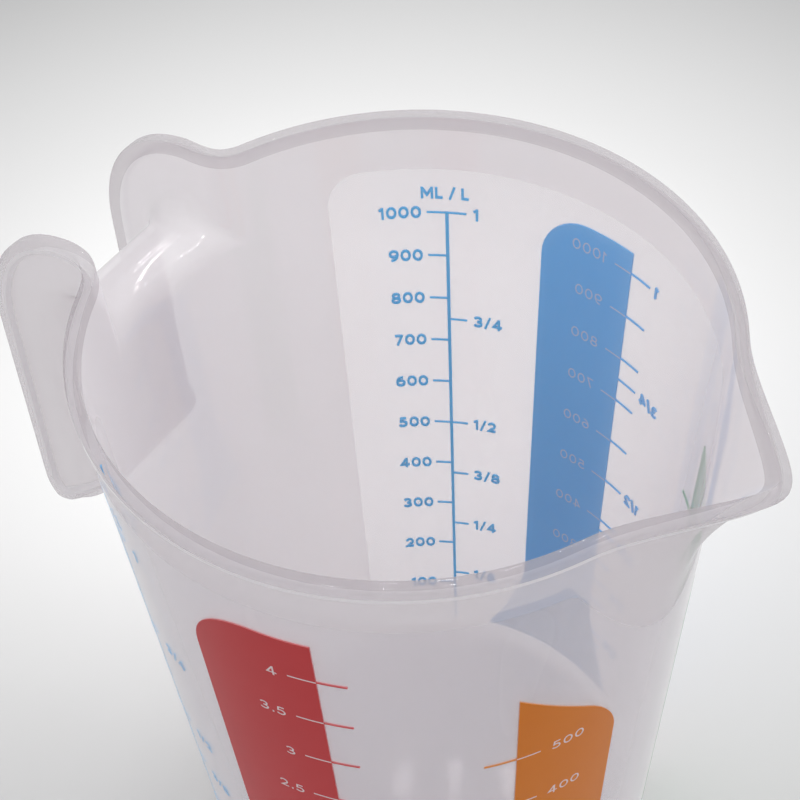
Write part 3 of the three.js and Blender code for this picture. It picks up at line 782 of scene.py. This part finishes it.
def add_patch(target, ends, bottom, top, skins, paint=0, facet=1.2):
    """Adds a wrapped patch to a bmesh. Skins are the distances of its two faces from the wall."""
    low, high = min(ends), max(ends)
    box = bmesh.new()
    bmesh.ops.create_cube(box, size=1)
    level = [edge for edge in box.edges if abs(edge.verts[0].co.x - edge.verts[1].co.x) > 0.5]
    bmesh.ops.subdivide_edges(box, edges=level, cuts=math.ceil((high - low) / facet), use_grid_fill=True)
    for point in box.verts:
        azimuth = low + (high - low) * (0.5 + 0.5 * math.sin(math.pi * point.co.x))
        z = bottom(azimuth) + (top(azimuth) - bottom(azimuth)) * (point.co.y + 0.5)
        point.co = on_wall(azimuth, z, skins[0] + (skins[1] - skins[0]) * (point.co.z + 0.5))
    for face in box.faces:
        face.material_index = paint
    laid = bpy.data.meshes.new("patch")
    box.to_mesh(laid)
    box.free()
    target.from_mesh(laid)
    bpy.data.meshes.remove(laid)


print("label top at", LABEL_TOP, "mm")

# %% [markdown]
# ## Label film
# One clear film goes round the jug, from one side of the handle to the other. Its ends have rounded
# corners, and its upper edge dips round the foot of the spout, because film cannot follow the folds.

# %% Label film
FILM_SKINS = (0.04, 0.16)


def label_edge(azimuth):
    across = arc_length(azimuth, 0) / (SPOUT_WIDTH / 2)
    dip = SPOUT_FOOT - LABEL_GAP + (SPOUT_DEPTH - SPOUT_SHOULDER) * across ** (1 / FOLD_POWER)
    return min(LABEL_TOP, dip) - round_off(arc_length(LABEL_END, abs(azimuth)), LABEL_CORNER)


def label_foot(azimuth):
    return LABEL_BOTTOM + round_off(arc_length(LABEL_END, abs(azimuth)), LABEL_CORNER)


film = bmesh.new()
add_patch(film, (-LABEL_END, LABEL_END), label_foot, label_edge, FILM_SKINS)
bmesh.ops.recalc_face_normals(film, faces=film.faces[:])
finish_piece(film, "wrapped_label_film", (film_finish,), ["label_film"], 40)

# %% [markdown]
# ## Marks and figures
# The marks stand at the heights that equal volumes reach in the tapered jug, so they are worked out from
# the cone and not spaced evenly. Figures could be text objects, but a font's outlines give many thin
# triangles. Here each figure is a few strokes, drawn as curves with a square pen, turned into a mesh and
# laid on the wall like a patch. Figures on the colour bands read from outside, and those of the scale
# beside the handle read from inside, so these run the other way round.

# %% Heights, ticks and figures
INK_SKINS = (-0.25, 0.18)
TICK_SKINS = (-0.24, 0.175)
PALE_SKINS = (-0.28, 0.20)
BAND_BOTTOM = 4.0
BAND_TOP = LABEL_TOP - 7.0
TICK_THICKNESS = 0.32
BAND_FIGURE = 2.7
LINE_FIGURE = 2.8
THIN_STROKE = 0.115
FULL_STROKE = 0.175
LETTER_GAP = 0.15
FRONT_FACING = 0.5


def fill_height(millilitres):
    """The height that a volume reaches in the jug."""
    draft_slope = (MOUTH_RADIUS - BASE_RADIUS) / JUG_HEIGHT
    floor_radius = inner_radius(FLOOR)
    surface = (floor_radius ** 3 + 3 * draft_slope * 1000 * millilitres / math.pi) ** (1 / 3)
    return FLOOR + (surface - floor_radius) / draft_slope


def add_tick(target, start, end, z, paint=0):
    half = TICK_THICKNESS / 2
    skins = PALE_SKINS if paint else TICK_SKINS
    add_patch(target, (start, end), lambda azimuth: z - half, lambda azimuth: z + half, skins, paint)


def arc(x, y, wide, tall, start, end, steps=10):
    """Points on an ellipse between two angles in degrees."""
    turns = [math.radians(start + (end - start) * step / steps) for step in range(steps + 1)]
    return [(x + wide * math.cos(turn), y + tall * math.sin(turn)) for turn in turns]


def upside_down(strokes, wide):
    return [[(wide - x, 1 - y) for x, y in stroke] for stroke in strokes]


SIX = [arc(0.36, 0.34, 0.28, 0.26, 0, 360, 16), arc(0.50, 0.40, 0.42, 0.52, 190, 82, 7)]
GLYPHS = {
    "0": (0.74, [arc(0.37, 0.5, 0.29, 0.42, 0, 360, 18)]),
    "1": (0.38, [[(0.26, 0.0), (0.26, 1.0)], [(0.02, 0.76), (0.28, 0.93)]]),
    "2": (0.68, [arc(0.32, 0.65, 0.25, 0.27, 165, -38) + [(0.12, 0.08), (0.64, 0.08)]]),
    "3": (0.70, [arc(0.32, 0.71, 0.24, 0.21, 155, -100, 9), arc(0.32, 0.29, 0.28, 0.21, 100, -155, 9)]),
    "4": (0.76, [[(0.51, 0.0), (0.51, 1.0)], [(0.49, 0.95), (0.10, 0.29), (0.74, 0.29)]]),
    "5": (0.70, [[(0.60, 0.92), (0.19, 0.92), (0.14, 0.50)], arc(0.31, 0.34, 0.29, 0.26, 128, -150, 10)]),
    "6": (0.72, SIX),
    "7": (0.66, [[(0.04, 0.92), (0.62, 0.92)], [(0.58, 0.95), (0.22, 0.0)]]),
    "8": (0.72, [arc(0.36, 0.71, 0.23, 0.21, 0, 360, 14), arc(0.36, 0.29, 0.28, 0.21, 0, 360, 16)]),
    "9": (0.72, upside_down(SIX, 0.72)),
    ".": (0.20, [[(0.10, 0.0), (0.10, 0.18)]]),
    "/": (0.46, [[(0.05, -0.04), (0.41, 1.04)]]),
    "M": (0.92, [[(0.09, 0.0), (0.09, 1.0)], [(0.83, 0.0), (0.83, 1.0)],
                 [(0.11, 0.94), (0.46, 0.32), (0.81, 0.94)]]),
    "L": (0.58, [[(0.09, 1.0), (0.09, 0.08), (0.56, 0.08)]]),
    " ": (0.16, []),
}


def text_mesh(words, align, stroke):
    """Words as flat strokes one unit tall, each with a square section half a unit deep on both sides."""
    width = sum(GLYPHS[letter][0] + LETTER_GAP for letter in words) - LETTER_GAP
    pen = {"LEFT": 0, "CENTER": -width / 2, "RIGHT": -width}[align]
    nib = bpy.data.curves.new("nib", "CURVE")
    line = nib.splines.new("POLY")
    line.points.add(3)
    for point, (x, y) in zip(line.points, ((-1, -1), (1, -1), (1, 1), (-1, 1))):
        point.co = (x * stroke / 2, y * 0.5, 0, 1)
    line.use_cyclic_u = True
    nib_holder = bpy.data.objects.new("nib", nib)
    curve = bpy.data.curves.new("figure", "CURVE")
    curve.dimensions = "2D"
    curve.fill_mode = "NONE"
    curve.bevel_mode = "OBJECT"
    curve.bevel_object = nib_holder
    curve.use_fill_caps = True
    for letter in words:
        wide, lines = GLYPHS[letter]
        for places in lines:
            closed = math.dist(places[0], places[-1]) < 1e-6
            places = places[:-1] if closed else places
            line = curve.splines.new("POLY")
            line.points.add(len(places) - 1)
            for point, (x, y) in zip(line.points, places):
                point.co = (pen + x, y, 0, 1)
            line.use_cyclic_u = closed
        pen += wide + LETTER_GAP
    holder = bpy.data.objects.new("figure", curve)
    for part in (nib_holder, holder):
        scene.collection.objects.link(part)
    graph = bpy.context.evaluated_depsgraph_get()
    mesh = bpy.data.meshes.new_from_object(holder.evaluated_get(graph), depsgraph=graph)
    for part in (nib_holder, holder):
        bpy.data.objects.remove(part)
    bpy.data.curves.remove(curve)
    bpy.data.curves.remove(nib)
    return mesh


def add_figure(target, words, azimuth, z, align, outside=True, paint=0, tall=BAND_FIGURE):
    """Adds a figure whose middle is at a height, from its left end, its right end or its middle."""
    mesh = text_mesh(words, align, THIN_STROKE if paint else FULL_STROKE)
    way = 1 if outside else -1
    skins = PALE_SKINS if paint else INK_SKINS
    for point in mesh.vertices:
        along = math.degrees(point.co.x * tall / wall_radius(z))
        height = z + (point.co.y - 0.5) * tall
        proud = skins[0] + (skins[1] - skins[0]) * (point.co.z + 0.5)
        point.co = on_wall(azimuth + way * along, height, proud)
    mesh.polygons.foreach_set("material_index", [paint] * len(mesh.polygons))
    target.from_mesh(mesh)
    bpy.data.meshes.remove(mesh)


def finish_scale(bm, name, front, back, node):
    """Faces that look inwards or sideways get the inks for the back of the print, lighter with painted
    backlight.
    """
    bmesh.ops.recalc_face_normals(bm, faces=bm.faces[:])
    for face in bm.faces:
        middle = face.calc_center_median()
        outwards = face.normal.x * middle.x + face.normal.y * middle.y
        if outwards < FRONT_FACING * math.hypot(middle.x, middle.y):
            face.material_index += 2
    finish_piece(bm, name, (front, pale_ink, back, pale_back), [node], 30)


print("1000 ml at", round(fill_height(1000), 1), "mm, 500 ml at", round(fill_height(500), 1), "mm")

# %% [markdown]
# ## Tall bands
# Each tall band is a printed strip with one rounded top corner. Its marks start inside it as bare, pale
# lines and run out of its straight side as coloured ones. The red band counts cups, the blue one
# millilitres and, beside it, fractions of a litre. At its foot each band spreads to both sides in a
# curve, as an extra patch on either side.

# %% Red and blue bands
FRACTIONS = {"1": 1000, "3/4": 750, "1/2": 500, "3/8": 375, "1/4": 250, "1/8": 125}
HALF_CUP = 118.3
FOOT_HEIGHT = 28.0
FOOT_SPREAD = 12.8
FOOT_TIP = 0.3
MARK_OVERLAP = 0.3
RED_NEAR, RED_FAR, RED_CORNER = -72.6, -97.2, 14.0
RED_MARK, RED_PALE, RED_FIGURE = -67.1, -77.8, -79.8
BLUE_NEAR, BLUE_FAR, BLUE_CORNER = 73.3, 95.2, 10.0
BLUE_MARK, BLUE_PALE, BLUE_FIGURE, BLUE_FRACTION = 67.8, 77.6, 79.8, 66.3


def add_foot(strip, side, outwards):
    """The part of a band's foot that spreads beyond one side of it."""
    tip = FOOT_SPREAD * (1 - (BAND_BOTTOM + FOOT_TIP) / FOOT_HEIGHT) ** 1.5
    end = side + outwards * math.degrees(tip / wall_radius(LABEL_TOP))

    def foot_edge(azimuth):
        return FOOT_HEIGHT * (1 - (arc_length(azimuth, side) / FOOT_SPREAD) ** (2 / 3))

    add_patch(strip, (side, end), lambda azimuth: BAND_BOTTOM, foot_edge, INK_SKINS, facet=0.4)


def tall_band(near, far, corner):
    strip = bmesh.new()
    add_patch(strip, (near, far), lambda azimuth: BAND_BOTTOM,
              lambda azimuth: BAND_TOP - round_off(arc_length(azimuth, far), corner), INK_SKINS)
    outwards = math.copysign(1, far - near)
    add_foot(strip, near, -outwards)
    add_foot(strip, far, outwards)
    return strip


def band_mark(strip, near, end, pale, z):
    """A mark that starts pale inside a band and runs out of its near side in colour."""
    add_tick(strip, near + math.copysign(MARK_OVERLAP, pale - near), end, z)
    add_tick(strip, pale, near, z, 1)


red = tall_band(RED_NEAR, RED_FAR, RED_CORNER)
for count in range(1, 9):
    z = fill_height(HALF_CUP * count)
    band_mark(red, RED_NEAR, RED_MARK, RED_PALE, z)
    add_figure(red, f"{count / 2:g}", RED_FIGURE, z, "RIGHT", paint=1)
finish_scale(red, "red_band", red_ink, painted_backlight_red, "red_cup_scale")

blue = tall_band(BLUE_NEAR, BLUE_FAR, BLUE_CORNER)
for count in range(1, 11):
    z = fill_height(100 * count)
    band_mark(blue, BLUE_NEAR, BLUE_MARK, BLUE_PALE, z)
    add_figure(blue, str(100 * count), BLUE_FIGURE, z, "LEFT", paint=1)
for words, volume in FRACTIONS.items():
    z = fill_height(volume)
    if volume % 100:
        add_tick(blue, BLUE_NEAR + MARK_OVERLAP, BLUE_MARK, z)
    add_figure(blue, words, BLUE_FRACTION, z, "RIGHT")
finish_scale(blue, "blue_band", blue_ink, painted_backlight_blue, "blue_millilitre_scale")

# %% [markdown]
# ## Short bands
# Beside the spout are two shorter bands for dry food, with sloping tops that follow the label's dip. They
# are mirror images, but their figures still read from left to right.

# %% Orange and green bands
SHORT_DROP = 26.7
SHORT_SLOPE = 0.83
SHORT_CORNER = 7.5
SHORT_NEAR, SHORT_FAR = 37.5, 14.8
SHORT_MARK, SHORT_PALE, SHORT_FIGURE = 43.9, 32.7, 30.3
DRY_STEP = 139


def short_band(side):
    """A short band with its marks. Side is -1 or 1 and tells on which side of the spout it is."""
    near, far = side * SHORT_NEAR, side * SHORT_FAR
    strip = bmesh.new()

    def sloping_top(azimuth):
        slope = SHORT_SLOPE * arc_length(azimuth, near)
        return LABEL_TOP - SHORT_DROP - slope - round_off(arc_length(azimuth, far), SHORT_CORNER)

    add_patch(strip, (near, far), lambda azimuth: BAND_BOTTOM, sloping_top, INK_SKINS)
    for count in range(1, 6):
        z = fill_height(DRY_STEP * count)
        band_mark(strip, near, side * SHORT_MARK, side * SHORT_PALE, z)
        add_figure(strip, str(100 * count), side * SHORT_FIGURE, z, "LEFT" if side < 0 else "RIGHT", paint=1)
    return strip


orange = short_band(-1)
finish_scale(orange, "orange_band", orange_ink, painted_backlight_orange, "orange_dry_scale")
green = short_band(1)
finish_scale(green, "green_band", green_ink, painted_backlight_green, "green_dry_scale")

# %% [markdown]
# ## Line scales
# Two line scales flank the handle: an upright line with millilitres on one side and fractions of a litre
# on the other. One reads from inside the jug and one from outside. Both are the same drawing, so one
# function makes them.

# %% Line scales
INSIDE_LINE, INSIDE_GAP = 115.9, 5.6
OUTSIDE_LINE, OUTSIDE_GAP = -121.0, 7.6
LINE_HALF = 0.33
LINE_HEAD = 0.2
NUMBER_TICK = 4.2
NUMBER_GAP = 5.4
FRACTION_TICK = 4.1
UNITS_SHIFT = 0.3
UNITS_HEIGHT = 134.2


def line_scale(line, way, gap):
    """Way is 1 where azimuth grows to the reader's right, as from outside, and -1 from inside. Gap is the
    distance in degrees from the line to the fractions."""
    drawing = bmesh.new()
    outside = way > 0
    head = fill_height(1000) + LINE_HEAD
    half = math.degrees(LINE_HALF / wall_radius(100))
    ends = (line - half, line + half)
    add_patch(drawing, ends, lambda azimuth: BAND_BOTTOM, lambda azimuth: head, INK_SKINS)
    for count in range(1, 11):
        z = fill_height(100 * count)
        add_tick(drawing, line, line - way * NUMBER_TICK, z)
        add_figure(drawing, str(100 * count), line - way * NUMBER_GAP, z, "RIGHT", outside, tall=LINE_FIGURE)
    for words, volume in FRACTIONS.items():
        z = fill_height(volume)
        add_tick(drawing, line, line + way * FRACTION_TICK, z)
        add_figure(drawing, words, line + way * gap, z, "LEFT", outside, tall=LINE_FIGURE)
    add_figure(drawing, "ML / L", line - way * UNITS_SHIFT, UNITS_HEIGHT, "CENTER", outside)
    return drawing


inside_scale = line_scale(INSIDE_LINE, -1, INSIDE_GAP)
finish_scale(inside_scale, "inside_line_scale", blue_ink, painted_backlight_line, "inside_litre_scale")
outside_scale = line_scale(OUTSIDE_LINE, 1, OUTSIDE_GAP)
finish_scale(outside_scale, "outside_line_scale", line_ink, painted_backlight_line, "outside_litre_scale")
